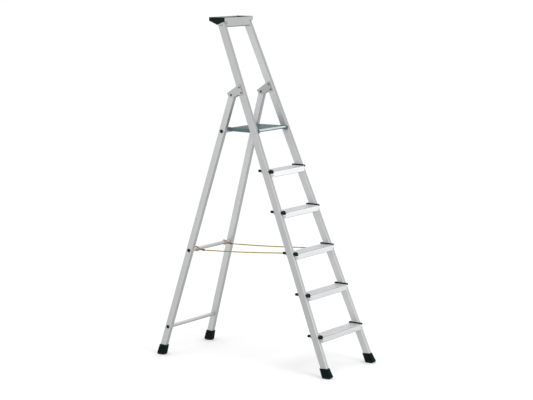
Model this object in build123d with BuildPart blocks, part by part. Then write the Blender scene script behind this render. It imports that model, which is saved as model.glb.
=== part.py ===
"""Aluminium platform step ladder with five treads, a fold-up platform, a tool tray and two safety ropes.

Millimetres, +Z up. The origin is on the floor at the centre of the footprint.
-Y is the climbing side, +Y the supporting side, and the two sides mirror about X = 0.
"""
from build123d import *
from math import atan, cos, degrees, hypot, radians, sin, sqrt, tan
import os

os.makedirs("parts", exist_ok=True)

# ---- Driving dimensions -------------------------------------------------------------------------
TREAD_RISE = 235.0  # height from one tread to the next
TREAD_COUNT = 5

STILE_WIDTH = 28.0  # front stile tube, across the ladder
STILE_DEPTH = 42.0
STILE_FOOT_X = 251.5  # stile axis at floor level
STILE_FOOT_Y = -593.1
STILE_LEAN = 0.4045  # run towards +Y for each unit of height, 68 degrees to the floor
STILE_TAPER = 0.0555  # how much the stiles close in for each unit of height
STILE_TOP_Z = 2031.6

LEG_WIDTH = 28.0  # rear leg tube
LEG_DEPTH = 40.0
LEG_FOOT_Y = 596.6
LEG_LEAN = -0.2874  # 74 degrees to the floor
LEG_TAPER = 0.0573

TUBE_WALL = 1.8
TUBE_CORNER = 3.5
MEMBER_START_Z = 14.0  # the tubes end inside the rubber shoes

PIVOT_Y = 134.5  # hinge between the stiles and the rear legs
PIVOT_Z = 1612.0
PIVOT_PIN_R = 4.0
PIN_CLEARANCE = 0.05
BUSH_R = 6.5
CHEEK_THICKNESS = 2.5
PAD_THICKNESS = 1.6

PLATFORM_PIVOT_Y = -40.0
PLATFORM_PIVOT_Z = 1401.0
PLATFORM_TOP_Z = 1412.0
PLATFORM_FRONT_Y = -42.0
PLATFORM_REAR_Y = 172.0
PLATFORM_FRONT_HALF = 157.6  # outer faces of the side arms at the pivot
PLATFORM_REAR_HALF = 139.0  # and at the hooks
ARM_THICKNESS = 5.0
ARM_BOSS_R = 14.5
PLATFORM_PIN_R = 4.0

CROSSBAR_R = 11.0
CROSSBAR_WALL = 1.8
CROSSBAR_Z = {"crossbar_lower": 176.3, "crossbar_upper": 659.0, "platform_tube": 1393.0}

TREAD_NOSE = -47.0  # tread outline, measured from the stile axis at tread height
TREAD_REAR = 36.0
TREAD_DROP = 34.0  # height of the front fascia
TREAD_SKIN = 2.2
TREAD_GROOVE_PITCH = 6.0
CAP_PLATE = 3.0
CAP_RISE = 8.5  # the end caps stand this much above the tread

TRAY_FRONT_Y = 202.0
TRAY_REAR_Y = 311.0
TRAY_TOP_Z = 2066.0
TRAY_HALF = 148.5
TRAY_SKIN = 2.5
TRAY_CAP = 3.5

ROPE_R = 3.25
ROPE_TREAD = 3
ROPE_FRONT_X = 118.0
ROPE_REAR_X = 150.0

SIDES = {"left": -1, "right": 1}

# ---- Derived places -----------------------------------------------------------------------------
STILE_HALF_Y = STILE_DEPTH / 2 * sqrt(1 + STILE_LEAN**2)  # half depth measured along Y
LEG_HALF_Y = LEG_DEPTH / 2 * sqrt(1 + LEG_LEAN**2)
LEG_FOOT_X = STILE_FOOT_X - STILE_TAPER * PIVOT_Z + LEG_TAPER * PIVOT_Z  # the tubes line up at the hinge
PIVOT_X = STILE_FOOT_X - STILE_TAPER * PIVOT_Z


def stile_x(z):
    return STILE_FOOT_X - STILE_TAPER * z


def stile_y(z):
    return STILE_FOOT_Y + STILE_LEAN * z


def leg_x(z):
    return LEG_FOOT_X - LEG_TAPER * z


def leg_y(z):
    return LEG_FOOT_Y + LEG_LEAN * z


def member_plane(side, x, y, z, taper, lean):
    """A plane across an inclined tube: z_dir runs up the tube and x_dir across the ladder."""
    return Plane(origin=(side * x, y, z), x_dir=(1, 0, side * taper), z_dir=(-side * taper, lean, 1))


def stile_plane(side, z):
    return member_plane(side, stile_x(z), stile_y(z), z, STILE_TAPER, STILE_LEAN)


def leg_plane(side, z):
    return member_plane(side, leg_x(z), leg_y(z), z, LEG_TAPER, LEG_LEAN)


def stile_length(rise):
    return rise * sqrt(1 + STILE_LEAN**2 + STILE_TAPER**2)


def leg_length(rise):
    return rise * sqrt(1 + LEG_LEAN**2 + LEG_TAPER**2)


def across(x):
    """A plane at this x whose sketch is drawn in (y, z), extruded towards +X."""
    return Plane(origin=(x, 0, 0), x_dir=(0, 1, 0), z_dir=(1, 0, 0))


def side_slab(side, inner, outer):
    """Start plane and signed amount for a sketch in (y, z) filling |x| from inner to outer on one side."""
    return across(side * inner), side * (outer - inner)


def save(builder, name):
    builder.part.label = name
    export_step(builder.part, f"parts/{name}.step")


# ---- Front stiles -------------------------------------------------------------------------------
TREAD_HEIGHTS = [TREAD_RISE * n for n in range(1, TREAD_COUNT + 1)]
SPIGOT_OFFSETS = (-16.0, 8.0)  # along Y from the stile axis
SPIGOT_DROP = 9.5
SPIGOT_R = 6.0
SPIGOT_CLEARANCE = 0.15


def inner_face(z):
    """|x| of the stile's inner face."""
    return stile_x(z) - STILE_WIDTH / 2 * sqrt(1 + STILE_TAPER**2)


def outer_face(z):
    return stile_x(z) + STILE_WIDTH / 2 * sqrt(1 + STILE_TAPER**2)


HINGE_RIVETS = ((79.0, 1659.0), (64.0, 1628.0))  # (y, z), through the bracket and the stile
HINGE_RIVET_R = 3.2

for side_name, side in SIDES.items():
    with BuildPart() as stile:
        with BuildSketch(stile_plane(side, MEMBER_START_Z)):
            RectangleRounded(STILE_WIDTH, STILE_DEPTH, TUBE_CORNER)
            RectangleRounded(
                STILE_WIDTH - 2 * TUBE_WALL,
                STILE_DEPTH - 2 * TUBE_WALL,
                TUBE_CORNER - TUBE_WALL,
                mode=Mode.SUBTRACT,
            )
        extrude(amount=stile_length(STILE_TOP_Z - MEMBER_START_Z))
        # Holes for the tread spigots, through the inner wall only
        for height in TREAD_HEIGHTS:
            start = inner_face(height) - 4
            with BuildSketch(across(side * start)):
                for offset_y in SPIGOT_OFFSETS:
                    with Locations((stile_y(height) + offset_y, height - SPIGOT_DROP)):
                        Circle(SPIGOT_R + SPIGOT_CLEARANCE)
            extrude(amount=side * 9.0, mode=Mode.SUBTRACT)
        # Holes for the hinge rivets and the platform pin, right through
        with BuildSketch(across(side * (inner_face(PIVOT_Z) - 5))):
            for place in HINGE_RIVETS:
                with Locations(place):
                    Circle(HINGE_RIVET_R + PIN_CLEARANCE)
        extrude(amount=side * (STILE_WIDTH + 12), mode=Mode.SUBTRACT)
        with BuildSketch(across(side * (inner_face(PLATFORM_PIVOT_Z) - 4))):
            with Locations((PLATFORM_PIVOT_Y, PLATFORM_PIVOT_Z)):
                Circle(PLATFORM_PIN_R + PIN_CLEARANCE)
        extrude(amount=side * (STILE_WIDTH + 8), mode=Mode.SUBTRACT)
    save(stile, f"stile_{side_name}")

# ---- Treads -------------------------------------------------------------------------------------
TREAD_CORNER = 4.0
GROOVE_WIDTH = 1.6
GROOVE_DEPTH = 0.7
REAR_FLANGE = 25.0
FASCIA_TILT = 6.0  # the fascia's foot lies this much behind its top
EAR_LENGTH = 9.0  # the fascia reaches this far over the front of each stile
EAR_TOP = -13.0
ROPE_DROP = 15.0  # rope hole below the tread's top
GROMMET_NECK_R = 5.0
CAP_GAP = 0.3


def tread_half(height):
    """Half length of the tread between its end caps."""
    return inner_face(height + CAP_RISE) - CAP_PLATE - 2 * CAP_GAP


def spigot_reach(height):
    """|x| where the spigots end, just inside the stile's inner wall."""
    return inner_face(height) + TUBE_WALL + 2.0


def stile_front(z):
    return stile_y(z) - STILE_HALF_Y - CAP_GAP


def stile_rear(z):
    return stile_y(z) + STILE_HALF_Y + CAP_GAP


for number, height in enumerate(TREAD_HEIGHTS, start=1):
    axis_y = stile_y(height)
    nose_y = axis_y + TREAD_NOSE
    rear_y = axis_y + TREAD_REAR
    fascia_foot_y = nose_y + FASCIA_TILT
    with BuildPart() as tread:
        with BuildSketch(across(-tread_half(height))):
            with BuildLine():
                FilletPolyline(
                    (rear_y, height - REAR_FLANGE),
                    (rear_y, height),
                    (nose_y, height),
                    (fascia_foot_y, height - TREAD_DROP),
                    (fascia_foot_y + 9, height - TREAD_DROP),
                    radius=TREAD_CORNER / 2,
                )
                offset(amount=TREAD_SKIN / 2, side=Side.BOTH)
            make_face()
            groove_count = int((TREAD_REAR - TREAD_NOSE - 14) // TREAD_GROOVE_PITCH)
            with Locations(((nose_y + rear_y) / 2, height + TREAD_SKIN / 2)):
                with GridLocations(TREAD_GROOVE_PITCH, 1, groove_count, 1):
                    Rectangle(GROOVE_WIDTH, 2 * GROOVE_DEPTH, mode=Mode.SUBTRACT)
            for offset_y in SPIGOT_OFFSETS:
                with Locations((axis_y + offset_y, height - SPIGOT_DROP)):
                    Circle(SPIGOT_R)
                with Locations((axis_y + offset_y, height - SPIGOT_DROP / 2)):
                    Rectangle(3.0, SPIGOT_DROP)
        extrude(amount=2 * tread_half(height))
        # Round spigots that are flared inside the stiles
        with BuildSketch(across(-spigot_reach(height))):
            for offset_y in SPIGOT_OFFSETS:
                with Locations((axis_y + offset_y, height - SPIGOT_DROP)):
                    Circle(SPIGOT_R)
        extrude(amount=2 * spigot_reach(height))
        with BuildSketch(across(-spigot_reach(height))):
            for offset_y in SPIGOT_OFFSETS:
                with Locations((axis_y + offset_y, height - SPIGOT_DROP)):
                    Circle(SPIGOT_R - 2.0)
        extrude(amount=2 * spigot_reach(height), mode=Mode.SUBTRACT)
        # The fascia's ears in front of the stiles, folded back to them at their ends
        ear_end = inner_face(height) + EAR_LENGTH
        ear_low = height - TREAD_DROP + 3
        slope = FASCIA_TILT / TREAD_DROP
        ear_top_y = nose_y - slope * EAR_TOP
        ear_low_y = fascia_foot_y - slope * 3
        with BuildSketch(across(-ear_end)):
            with BuildLine():
                Polyline(
                    (ear_top_y - TREAD_SKIN / 2, height + EAR_TOP),
                    (ear_top_y + TREAD_SKIN / 2, height + EAR_TOP),
                    (ear_low_y + TREAD_SKIN / 2, ear_low),
                    (ear_low_y - TREAD_SKIN / 2, ear_low),
                    close=True,
                )
            make_face()
        extrude(amount=2 * ear_end)
        for side in SIDES.values():
            plane, amount = side_slab(side, ear_end - TREAD_SKIN, ear_end)
            with BuildSketch(plane):
                with BuildLine():
                    Polyline(
                        (ear_top_y, height + EAR_TOP),
                        (stile_front(height + EAR_TOP), height + EAR_TOP),
                        (stile_front(ear_low), ear_low),
                        (ear_low_y, ear_low),
                        close=True,
                    )
                make_face()
            extrude(amount=amount)
        if number == ROPE_TREAD:
            rope_z = height - ROPE_DROP
            with BuildSketch(Plane(origin=(0, rear_y - 5, rope_z), x_dir=(1, 0, 0), z_dir=(0, 1, 0))):
                with GridLocations(2 * ROPE_FRONT_X, 1, 2, 1):
                    Circle(GROMMET_NECK_R)
            extrude(amount=10, mode=Mode.SUBTRACT)
    save(tread, f"tread_{number}")

# ---- Tread end caps -----------------------------------------------------------------------------
RIM_REAR = 41.0  # reach of the raised rim from the stile axis
RIM_FRONT = -37.0
FRONT_LUG = -40.0
FRONT_LUG_TOP = 5.0
REAR_LUG = 50.0
LUG_BELOW = 9.0
LUG_OUT = 21.0  # how far the lugs reach across the stile
RIM_DEPTH = 4.5

for number, height in enumerate(TREAD_HEIGHTS, start=1):
    axis_y = stile_y(height)
    top = height + CAP_RISE
    plate_outer = inner_face(top) - CAP_GAP
    for side_name, side in SIDES.items():
        with BuildPart() as cap:
            # The plate that closes the tread's end, with its raised rim
            plane, amount = side_slab(side, plate_outer - CAP_PLATE, plate_outer)
            with BuildSketch(plane):
                with BuildLine():
                    Polyline(
                        (axis_y + RIM_REAR - 2, top),
                        (axis_y + RIM_FRONT, top),
                        (axis_y + FRONT_LUG, height + FRONT_LUG_TOP),
                        (axis_y + FRONT_LUG - 1, height - LUG_BELOW + 3),
                        (axis_y + TREAD_NOSE + FASCIA_TILT - 1.5, height - LUG_BELOW),
                        (axis_y + TREAD_NOSE + FASCIA_TILT + 1.5, height - TREAD_DROP + 6),
                        (axis_y + TREAD_REAR - 4, height - TREAD_DROP + 10),
                        (axis_y + RIM_REAR, height - LUG_BELOW),
                        (axis_y + RIM_REAR, top - 3),
                        close=True,
                    )
                make_face()
            extrude(amount=amount)
            # The lug in front of the stile
            plane, amount = side_slab(side, plate_outer - CAP_PLATE, plate_outer + LUG_OUT)
            with BuildSketch(plane):
                with BuildLine():
                    Polyline(
                        (axis_y + FRONT_LUG, height - 3),
                        (axis_y + FRONT_LUG + 3, height + FRONT_LUG_TOP),
                        (stile_front(height + FRONT_LUG_TOP), height + FRONT_LUG_TOP),
                        (stile_front(height - LUG_BELOW), height - LUG_BELOW),
                        (axis_y + FRONT_LUG + 4, height - LUG_BELOW),
                        close=True,
                    )
                make_face()
            extrude(amount=amount)
            # The lug behind the stile: a wall along the stile and a knob at its outer end
            for inner, outer, reach in ((-CAP_PLATE, LUG_OUT, RIM_REAR), (LUG_OUT - 13, LUG_OUT, REAR_LUG)):
                plane, amount = side_slab(side, plate_outer + inner, plate_outer + outer)
                with BuildSketch(plane):
                    with BuildLine():
                        Polyline(
                            (stile_rear(height + 6.5), height + 6.5),
                            (axis_y + reach - 3, height + 6.5),
                            (axis_y + reach, height + 3.5),
                            (axis_y + reach, height - 5),
                            (axis_y + reach - 3, height - 8),
                            (stile_rear(height - 8), height - 8),
                            close=True,
                        )
                    make_face()
                extrude(amount=amount)
            # Holes for the spigots, and the step that the tread's own end fills
            with BuildSketch(across(side * (plate_outer - CAP_PLATE - 1))):
                for offset_y in SPIGOT_OFFSETS:
                    with Locations((axis_y + offset_y, height - SPIGOT_DROP)):
                        Circle(SPIGOT_R + SPIGOT_CLEARANCE)
            extrude(amount=side * (CAP_PLATE + 2), mode=Mode.SUBTRACT)
            # A shadow groove under the rim's top edge
            plane, amount = side_slab(side, plate_outer - CAP_PLATE - 1, plate_outer - CAP_PLATE + 1)
            with BuildSketch(plane):
                with Locations((axis_y + (RIM_REAR + RIM_FRONT) / 2, top - RIM_DEPTH - 1)):
                    Rectangle(RIM_REAR - RIM_FRONT - 8, 1.6)
            extrude(amount=amount, mode=Mode.SUBTRACT)
        save(cap, f"tread_cap_{side_name}_{number}")

# Rivets that hold the ears of the treads to the stiles, all alike
EAR_RIVET_DROP = 23.0
EAR_RIVET_HEAD_R = 3.2
EAR_RIVET_HEAD = 1.4
with BuildPart() as tread_rivets:
    for height in TREAD_HEIGHTS:
        level = height - EAR_RIVET_DROP
        face_y = stile_y(height) + TREAD_NOSE + FASCIA_TILT * EAR_RIVET_DROP / TREAD_DROP - TREAD_SKIN / 2
        out_of_fascia = (0, -TREAD_DROP, -FASCIA_TILT)
        head_plane = Plane(origin=(0, face_y - 0.05, level), x_dir=(1, 0, 0), z_dir=out_of_fascia)
        with BuildSketch(head_plane):
            with GridLocations(2 * (inner_face(height) + EAR_LENGTH / 2 - 0.3), 1, 2, 1):
                Circle(EAR_RIVET_HEAD_R)
        extrude(amount=EAR_RIVET_HEAD, taper=20)
save(tread_rivets, "tread_rivets")

# ---- Shoes --------------------------------------------------------------------------------------
SHOE_WALL = 2.4
SHOE_GAP = 0.2
FRONT_SHOE_TOP = 59.0
REAR_SHOE_TOP = 63.0
FRONT_TOE = 26.4  # in front of the stile axis at floor level
REAR_HEEL = 22.9  # behind the leg axis at floor level


def shoe_pocket(plane, width, depth, length):
    """Cuts the pocket that the tube stands in."""
    with BuildSketch(plane) as pocket:
        RectangleRounded(width + 2 * SHOE_GAP, depth + 2 * SHOE_GAP, TUBE_CORNER)
    extrude(pocket.sketch, amount=length, mode=Mode.SUBTRACT)


def trim_to_member(plane, width, depth):
    """Keeps what lies within the shoe's own width, measured square to the tube."""
    with BuildSketch(plane) as band:
        Rectangle(width + 2 * (SHOE_WALL + SHOE_GAP), 4 * depth)
    extrude(band.sketch, amount=160, both=True, mode=Mode.INTERSECT)


for side_name, side in SIDES.items():
    with BuildPart() as front_shoe:
        with BuildSketch(across(side * (STILE_FOOT_X - 30))):
            with BuildLine():
                foot_y = STILE_FOOT_Y
                top_front = (foot_y - 0.6 + STILE_LEAN * (FRONT_SHOE_TOP - 57), FRONT_SHOE_TOP)
                top_rear = (foot_y + STILE_HALF_Y + 2.4 + STILE_LEAN * FRONT_SHOE_TOP, FRONT_SHOE_TOP - 3)
                Polyline(
                    (foot_y - 13, 0),
                    (foot_y + 23, 0),
                    (foot_y + 29.5, 5),
                    top_rear,
                    top_front,
                    (foot_y - FRONT_TOE, 13),
                    (foot_y - FRONT_TOE + 1, 7),
                    close=True,
                )
            make_face()
        extrude(amount=side * 60)
        trim_to_member(stile_plane(side, 0), STILE_WIDTH, STILE_DEPTH)
        shoe_pocket(stile_plane(side, MEMBER_START_Z - SHOE_GAP), STILE_WIDTH, STILE_DEPTH, 120)
    save(front_shoe, f"front_foot_{side_name}")

    with BuildPart() as rear_shoe:
        with BuildSketch(across(side * (LEG_FOOT_X - 30))):
            with BuildLine():
                foot_y = LEG_FOOT_Y
                top_rear = (foot_y + LEG_HALF_Y + 2.2 + LEG_LEAN * REAR_SHOE_TOP, REAR_SHOE_TOP + 1)
                top_front = (foot_y - LEG_HALF_Y - 2.4 + LEG_LEAN * REAR_SHOE_TOP, REAR_SHOE_TOP - 2)
                Polyline(
                    (foot_y - 23, 0),
                    (foot_y + 15, 0),
                    (foot_y + REAR_HEEL, 7),
                    (foot_y + REAR_HEEL - 0.6, 13),
                    top_rear,
                    top_front,
                    (foot_y - 31, 13),
                    (foot_y - 29, 5),
                    close=True,
                )
            make_face()
        extrude(amount=side * 60)
        trim_to_member(leg_plane(side, 0), LEG_WIDTH, LEG_DEPTH)
        shoe_pocket(leg_plane(side, MEMBER_START_Z - SHOE_GAP), LEG_WIDTH, LEG_DEPTH, 120)
    save(rear_shoe, f"rear_foot_{side_name}")

# ---- Tool tray ----------------------------------------------------------------------------------
TRAY_VEE_Y = 253.0
TRAY_VEE_Z = 2023.5
TRAY_FRONT_LOW_Z = TRAY_VEE_Z + STILE_LEAN * (TRAY_VEE_Y - TRAY_FRONT_Y)  # front slope, on the stiles
TRAY_REAR_LOW_Z = 2046.5
APRON_LOW_Z = 2012.0
APRON_HALF = inner_face(APRON_LOW_Z) - 1.0 - STILE_TAPER * 54

with BuildPart() as tool_tray:
    with BuildSketch(across(-TRAY_HALF)):
        with BuildLine():
            Polyline(
                (TRAY_FRONT_Y, TRAY_TOP_Z),
                (TRAY_FRONT_Y, TRAY_FRONT_LOW_Z),
                (TRAY_VEE_Y, TRAY_VEE_Z),
                (TRAY_REAR_Y, TRAY_REAR_LOW_Z),
                (TRAY_REAR_Y, TRAY_TOP_Z),
                (TRAY_REAR_Y - TRAY_SKIN, TRAY_TOP_Z),
                (TRAY_REAR_Y - TRAY_SKIN, TRAY_REAR_LOW_Z + 1.8),
                (TRAY_VEE_Y + 4, TRAY_VEE_Z + 5.2),
                (TRAY_VEE_Y - 4, TRAY_VEE_Z + 5.2),
                (TRAY_FRONT_Y + TRAY_SKIN, TRAY_FRONT_LOW_Z + 1.8),
                (TRAY_FRONT_Y + TRAY_SKIN, TRAY_TOP_Z),
                close=True,
            )
        make_face()
    extrude(amount=2 * TRAY_HALF)
    # The apron hangs between the stiles and ends in a rounded return
    with BuildSketch(across(-APRON_HALF)):
        with BuildLine():
            FilletPolyline(
                (TRAY_FRONT_Y + TRAY_SKIN / 2, TRAY_FRONT_LOW_Z + 4),
                (TRAY_FRONT_Y + TRAY_SKIN / 2, APRON_LOW_Z + 1),
                (TRAY_FRONT_Y + 12, APRON_LOW_Z + 1),
                radius=3.0,
            )
            offset(amount=TRAY_SKIN / 2 - 0.05, side=Side.BOTH)
        make_face()
    extrude(amount=2 * APRON_HALF)
save(tool_tray, "tool_tray")

for side_name, side in SIDES.items():
    plane, amount = side_slab(side, TRAY_HALF, TRAY_HALF + TRAY_CAP)
    with BuildPart() as tray_cap:
        with BuildSketch(plane):
            with BuildLine():
                Polyline(
                    (TRAY_FRONT_Y - 0.5, TRAY_TOP_Z + 1.5),
                    (TRAY_FRONT_Y - 0.5, TRAY_FRONT_LOW_Z - 0.5),
                    (TRAY_VEE_Y, TRAY_VEE_Z - 0.5),
                    (TRAY_REAR_Y + 0.5, TRAY_REAR_LOW_Z - 0.5),
                    (TRAY_REAR_Y + 0.5, TRAY_TOP_Z + 1.5),
                    close=True,
                )
            make_face()
            fillet(vertices().sort_by(Axis.Z)[-2:], 2.5)
        extrude(amount=amount)
        # A plug inside the tray's end keeps the cap in place
        plane_in, amount_in = side_slab(side, TRAY_HALF - 4, TRAY_HALF)
        with BuildSketch(plane_in):
            with BuildLine():
                Polyline(
                    (TRAY_FRONT_Y + 3.2, TRAY_TOP_Z + 1.5),
                    (TRAY_FRONT_Y + 3.2, TRAY_FRONT_LOW_Z + 3.2),
                    (TRAY_VEE_Y - 4, TRAY_VEE_Z + 6.4),
                    (TRAY_VEE_Y + 4, TRAY_VEE_Z + 6.4),
                    (TRAY_REAR_Y - 3.2, TRAY_REAR_LOW_Z + 3.2),
                    (TRAY_REAR_Y - 3.2, TRAY_TOP_Z + 1.5),
                    close=True,
                )
            make_face()
        extrude(amount=amount_in)
    save(tray_cap, f"tray_cap_{side_name}")

# Angle cleats inside the apron tie the tray to the stiles' inner faces
CLEAT_TOP_Z = 2034.0
CLEAT_LOW_Z = 2018.0
CLEAT_THICKNESS = 2.0
with BuildPart() as tray_cleats:
    for side in SIDES.values():
        cleat_outer = inner_face(CLEAT_TOP_Z) - 0.4
        with BuildSketch(across(side * (cleat_outer - CLEAT_THICKNESS))):
            with BuildLine():
                Polyline(
                    (TRAY_FRONT_Y + TRAY_SKIN + 0.2, CLEAT_LOW_Z),
                    (TRAY_FRONT_Y + 34, CLEAT_LOW_Z),
                    (TRAY_FRONT_Y + 34, CLEAT_TOP_Z - 14),
                    (TRAY_FRONT_Y + 24, CLEAT_TOP_Z - 5),
                    (TRAY_FRONT_Y + TRAY_SKIN + 0.2, CLEAT_TOP_Z),
                    close=True,
                )
            make_face()
        extrude(amount=side * CLEAT_THICKNESS)
save(tray_cleats, "tray_cleats")

TRAY_RIVET_R = 3.0
with BuildPart() as tray_rivets:
    for side in SIDES.values():
        for y, z in ((TRAY_FRONT_Y + 14, CLEAT_LOW_Z + 4), (TRAY_FRONT_Y + 26, CLEAT_LOW_Z + 4)):
            with BuildSketch(across(side * (outer_face(z) + 0.3))):
                with Locations((y, z)):
                    Circle(TRAY_RIVET_R)
            extrude(amount=side * 1.4, taper=20)
save(tray_rivets, "tray_rivets")

# ---- Hinge between the stiles and the rear legs -------------------------------------------------
BRACKET_OUTLINE = [  # (y, z) at the stile's own side plane
    (165.0, 1620.0),
    (97.0, 1666.0),
    (75.0, 1677.0),
    (51.5, 1620.0),
    (65.0, 1616.0),
    (83.0, 1613.0),
    (124.0, 1597.5),
    (150.0, 1600.5),
]
BRACKET_CORNER = 4.0
BRACKET_HALF_INSIDE = STILE_WIDTH / 2 + PAD_THICKNESS
BRACKET_HALF = BRACKET_HALF_INSIDE + CHEEK_THICKNESS


def bracket_plane(side, across_offset):
    """A plane parallel to the stile's side faces, drawn in (y, distance above the pivot along the stile)."""
    return Plane(
        origin=(side * PIVOT_X, PIVOT_Y, PIVOT_Z), x_dir=(0, 1, 0), z_dir=(side, 0, STILE_TAPER)
    ).offset(across_offset)


def bracket_point(side, y, z):
    """(y, z) of the row frame in the bracket plane's own coordinates."""
    return (y - PIVOT_Y, side * (z - PIVOT_Z) * sqrt(1 + STILE_TAPER**2))


for side_name, side in SIDES.items():
    with BuildPart() as bracket:
        with BuildSketch(bracket_plane(side, -BRACKET_HALF)):
            with BuildLine():
                corners = [bracket_point(side, y, z) for y, z in BRACKET_OUTLINE]
                FilletPolyline(*corners, radius=BRACKET_CORNER, close=True)
            make_face()
        extrude(amount=2 * BRACKET_HALF)
        # The space between the cheeks, closed only by the web along the top rear edge
        with BuildSketch(bracket_plane(side, -BRACKET_HALF_INSIDE)):
            with BuildLine():
                Polyline(
                    bracket_point(side, 181.0, 1606.5),
                    bracket_point(side, 105.0, 1657.9),
                    bracket_point(side, 105.0, 1700.0),
                    bracket_point(side, 31.0, 1700.0),
                    bracket_point(side, 31.0, 1580.0),
                    bracket_point(side, 181.0, 1580.0),
                    close=True,
                )
            make_face()
        extrude(amount=2 * BRACKET_HALF_INSIDE, mode=Mode.SUBTRACT)
        with BuildSketch(across(side * (PIVOT_X - BRACKET_HALF - 6))):
            with Locations((PIVOT_Y, PIVOT_Z)):
                Circle(PIVOT_PIN_R + PIN_CLEARANCE)
            for place in HINGE_RIVETS:
                with Locations(place):
                    Circle(HINGE_RIVET_R + PIN_CLEARANCE)
        extrude(amount=side * (2 * BRACKET_HALF + 12), mode=Mode.SUBTRACT)
    save(bracket, f"hinge_bracket_{side_name}")

# Pads between the cheeks and the stiles
with BuildPart() as hinge_pads:
    for side in SIDES.values():
        for start in (-BRACKET_HALF_INSIDE + 0.05, STILE_WIDTH / 2 + 0.05):
            with BuildSketch(bracket_plane(side, start)):
                with BuildLine():
                    Polyline(
                        bracket_point(side, 98.0, 1661.5),
                        bracket_point(side, 76.0, 1673.0),
                        bracket_point(side, 54.5, 1621.0),
                        bracket_point(side, 83.0, 1615.0),
                        close=True,
                    )
                make_face()
            extrude(amount=PAD_THICKNESS - 0.1)
    with BuildSketch(across(-PIVOT_X - 30)):
        for place in HINGE_RIVETS:
            with Locations(place):
                Circle(HINGE_RIVET_R + 0.1)
    extrude(amount=2 * PIVOT_X + 60, mode=Mode.SUBTRACT)
save(hinge_pads, "hinge_pads")

RIVET_HEAD_R = 5.0
RIVET_HEAD = 1.0
with BuildPart() as hinge_rivets:
    for side in SIDES.values():
        for y, z in HINGE_RIVETS:
            centre_x = stile_x(z)
            half = BRACKET_HALF * sqrt(1 + STILE_TAPER**2) + 0.4
            with BuildSketch(across(side * (centre_x - half))):
                with Locations((y, z)):
                    Circle(HINGE_RIVET_R)
            extrude(amount=side * 2 * half)
            for direction in (-1, 1):
                with BuildSketch(across(side * centre_x + side * direction * half)):
                    with Locations((y, z)):
                        Circle(RIVET_HEAD_R)
                extrude(amount=side * direction * RIVET_HEAD, taper=15)
save(hinge_rivets, "hinge_rivets")

PIN_HEAD_R = 6.5
PIN_HEAD = 1.2
for side_name, side in SIDES.items():
    with BuildPart() as hinge_pin:
        half = BRACKET_HALF * sqrt(1 + STILE_TAPER**2) + 0.5
        with BuildSketch(across(side * (PIVOT_X - half))):
            with Locations((PIVOT_Y, PIVOT_Z)):
                Circle(PIVOT_PIN_R)
        extrude(amount=side * 2 * half)
        for direction in (-1, 1):
            with BuildSketch(across(side * (PIVOT_X + direction * half))):
                with Locations((PIVOT_Y, PIVOT_Z)):
                    Circle(PIN_HEAD_R)
            extrude(amount=side * direction * PIN_HEAD, taper=15)
    save(hinge_pin, f"hinge_pin_{side_name}")

# ---- Rear frame ---------------------------------------------------------------------------------
BUSH_WALL_GAP = 0.02
BUSH_HALF = LEG_WIDTH / 2 + 0.5

LEG_BELOW_HINGE = (  # (back, up) of an outline round the whole leg below the hinge
    (-LEG_DEPTH, 0.0),
    (LEG_DEPTH, 0.0),
    (LEG_DEPTH, -2 * PIVOT_Z),
    (-LEG_DEPTH, -2 * PIVOT_Z),
)


def leg_side_point(back, up):
    """(y, z) of a point this far behind the hinge, square to the leg, and this far up along the leg."""
    run = hypot(1, LEG_LEAN)
    return (PIVOT_Y + (back + up * LEG_LEAN) / run, PIVOT_Z + (up - back * LEG_LEAN) / run)


for side_name, side in SIDES.items():
    with BuildPart() as leg:
        with BuildSketch(leg_plane(side, MEMBER_START_Z)):
            RectangleRounded(LEG_WIDTH, LEG_DEPTH, TUBE_CORNER)
            RectangleRounded(
                LEG_WIDTH - 2 * TUBE_WALL,
                LEG_DEPTH - 2 * TUBE_WALL,
                TUBE_CORNER - TUBE_WALL,
                mode=Mode.SUBTRACT,
            )
        extrude(amount=leg_length(PIVOT_Z - MEMBER_START_Z) + LEG_DEPTH / 2)
        # Its upper end is round about the hinge, so that it turns inside the bracket
        with BuildSketch(across(side * (PIVOT_X - 30))):
            with Locations((PIVOT_Y, PIVOT_Z)):
                Circle(LEG_DEPTH / 2)
            with BuildLine():
                Polyline(*[leg_side_point(a, b) for a, b in LEG_BELOW_HINGE], close=True)
            make_face()
        extrude(amount=side * 160, mode=Mode.INTERSECT)
        # Bush hole at the hinge and holes for the crossbars
        with BuildSketch(across(side * (PIVOT_X - 20))):
            with Locations((PIVOT_Y, PIVOT_Z)):
                Circle(BUSH_R + BUSH_WALL_GAP)
        extrude(amount=side * 40, mode=Mode.SUBTRACT)
        for level in CROSSBAR_Z.values():
            with BuildSketch(across(side * (leg_x(level) - 20))):
                with Locations((leg_y(level), level)):
                    Circle(CROSSBAR_R + 0.1)
            extrude(amount=side * 40, mode=Mode.SUBTRACT)
    save(leg, f"rear_leg_{side_name}")

with BuildPart() as leg_bushes:
    for side in SIDES.values():
        with BuildSketch(across(side * (PIVOT_X - BUSH_HALF))):
            with Locations((PIVOT_Y, PIVOT_Z)):
                Circle(BUSH_R)
                Circle(PIVOT_PIN_R + PIN_CLEARANCE, mode=Mode.SUBTRACT)
        extrude(amount=side * 2 * BUSH_HALF)
save(leg_bushes, "leg_bushes")


def crossbar_half(level):
    return leg_x(level) + LEG_WIDTH / 2 + 1.6


for name, level in CROSSBAR_Z.items():
    with BuildPart() as crossbar:
        with BuildSketch(across(-crossbar_half(level))):
            with Locations((leg_y(level), level)):
                Circle(CROSSBAR_R)
                Circle(CROSSBAR_R - CROSSBAR_WALL, mode=Mode.SUBTRACT)
        extrude(amount=2 * crossbar_half(level))
    save(crossbar, name)

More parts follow.
